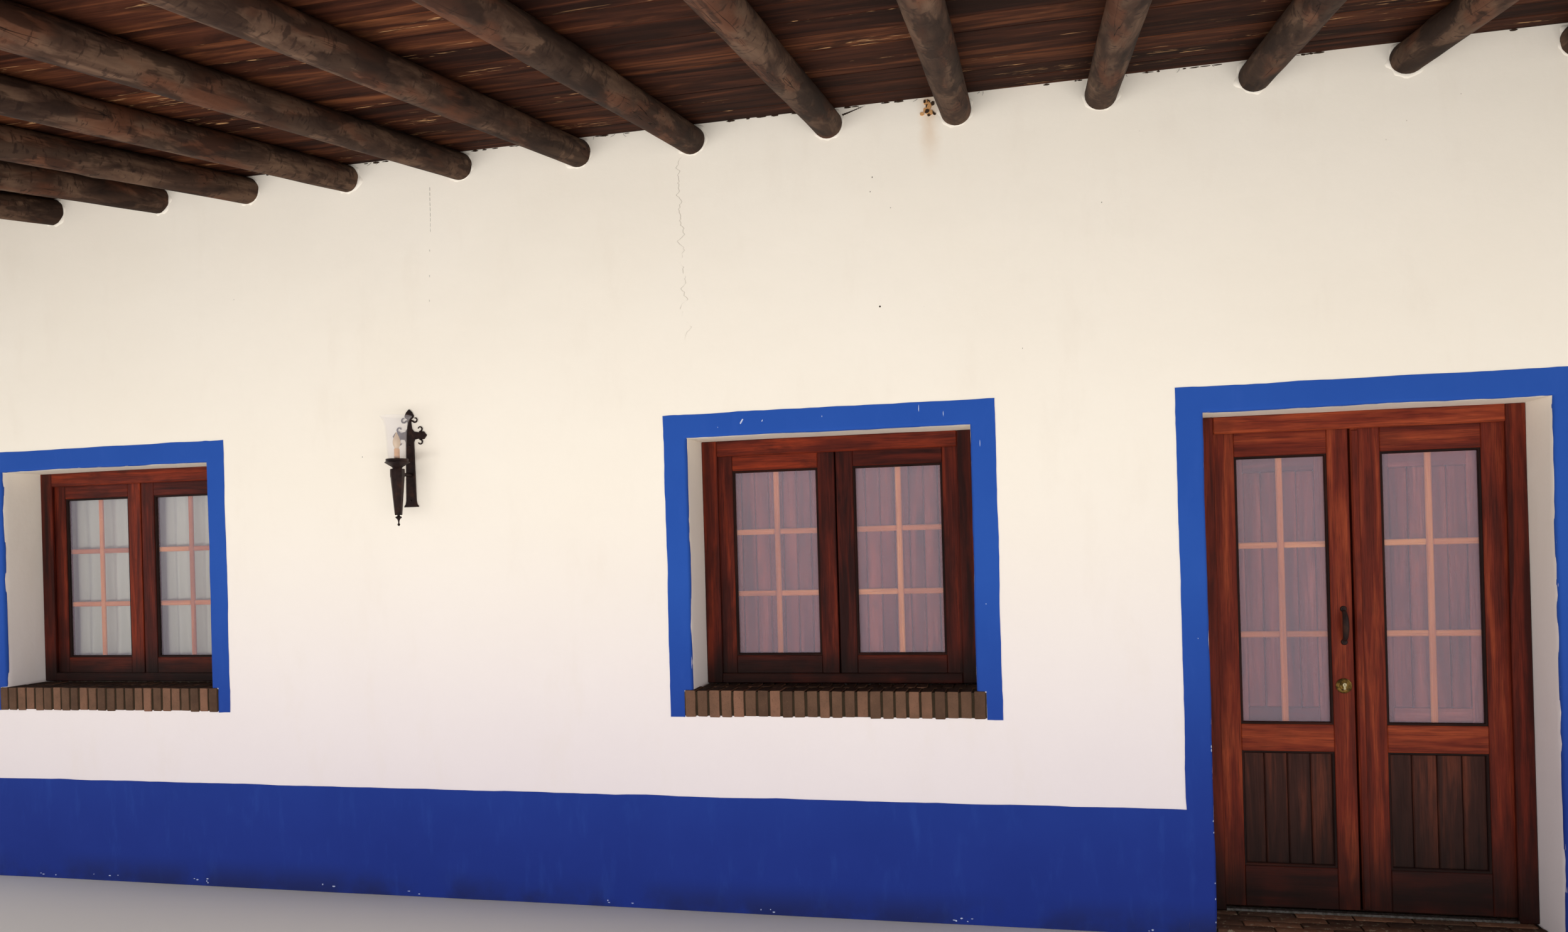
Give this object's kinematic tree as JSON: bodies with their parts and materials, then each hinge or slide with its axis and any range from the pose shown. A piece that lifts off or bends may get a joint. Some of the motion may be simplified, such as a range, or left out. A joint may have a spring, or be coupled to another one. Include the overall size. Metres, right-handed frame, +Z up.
{
  "type": "adobe farmhouse with a pole-roofed porch",
  "caption": "Single-storey limewashed earth-walled farmhouse with a blue dado, small-paned windows, a glazed double door and a deep porch on round poles.",
  "frame": {"origin": "middle of the whole footprint, at ground level", "axes": "+X along the front to the right as seen from the yard, +Y from the porch into the house, +Z up"},
  "size_m": [9.57, 10.1068, 5.0933],
  "materials": {
    "limewash": "matt limewashed plaster",
    "blue_paint": "matt limewash paint",
    "floor_tile": "matt",
    "threshold_brick": "matt, worn",
    "sill_brick": "matt, rough",
    "roof_tile": "matt, weathered",
    "joinery": "satin varnish",
    "door_panel": "satin varnish",
    "shutter_board": "satin",
    "glass": "clear",
    "bulb": "clear",
    "iron": "forged, dull",
    "brass": "aged",
    "weather_bar": "worn",
    "curtain": "sheer weave",
    "pole_wood": "rough, weathered",
    "roof_board": "rough, stained",
    "rafter_wood": "sawn"
  },
  "bodies": {
    "house": {"floor_slab": "floor_tile", "threshold": "threshold_brick", "front_wall_left": "limewash", "front_wall_right": "limewash", "front_wall_over_door": "limewash", "front_wall_head": "limewash", "back_wall": "limewash", "gable_walls": "limewash", "dado": "blue_paint", "window_surrounds": "blue_paint", "door_surround": "blue_paint", "window_frames": "joinery", "window_sashes": "joinery", "window_glass": "glass", "window_sills": "sill_brick", "window_shutters": "shutter_board", "curtain_rod": "iron", "curtains": "curtain", "door_frame": "joinery", "weather_bar": "weather_bar", "hinge_pins": "iron", "porch_poles": "pole_wood", "porch_beam": "pole_wood", "porch_posts": "pole_wood", "porch_boards": "roof_board", "porch_tiles": "roof_tile", "rafters": "rafter_wood", "ridge_board": "rafter_wood", "roof_boards": "roof_board", "front_roof_tiles": "roof_tile", "back_roof_tiles": "roof_tile", "ridge_tiles": "roof_tile", "lamp_bracket": "iron", "lamp_torch": "iron", "lamp_glass": "glass", "lamp_bulb": "bulb"},
    "left_door_leaf": {"left_leaf": "joinery", "left_leaf_panel": "door_panel", "left_leaf_glass": "glass", "left_leaf_shutter": "shutter_board", "left_leaf_hinges": "iron", "door_handle": "iron", "door_lock": "brass"},
    "right_door_leaf": {"right_leaf": "joinery", "right_leaf_panel": "door_panel", "right_leaf_glass": "glass", "right_leaf_shutter": "shutter_board", "right_leaf_hinges": "iron", "cover_strip": "joinery"}
  },
  "joints": [
    {"name": "left_leaf_hinge", "type": "hinge", "parent": "house", "child": "left_door_leaf", "pos_m": [2.448, -0.2209, 1], "axis": [0, 0, 1], "range_deg": [0, 100]},
    {"name": "right_leaf_hinge", "type": "hinge", "parent": "house", "child": "right_door_leaf", "pos_m": [3.562, -0.2209, 1], "axis": [0, 0, -1], "range_deg": [0, 100]}
  ]
}
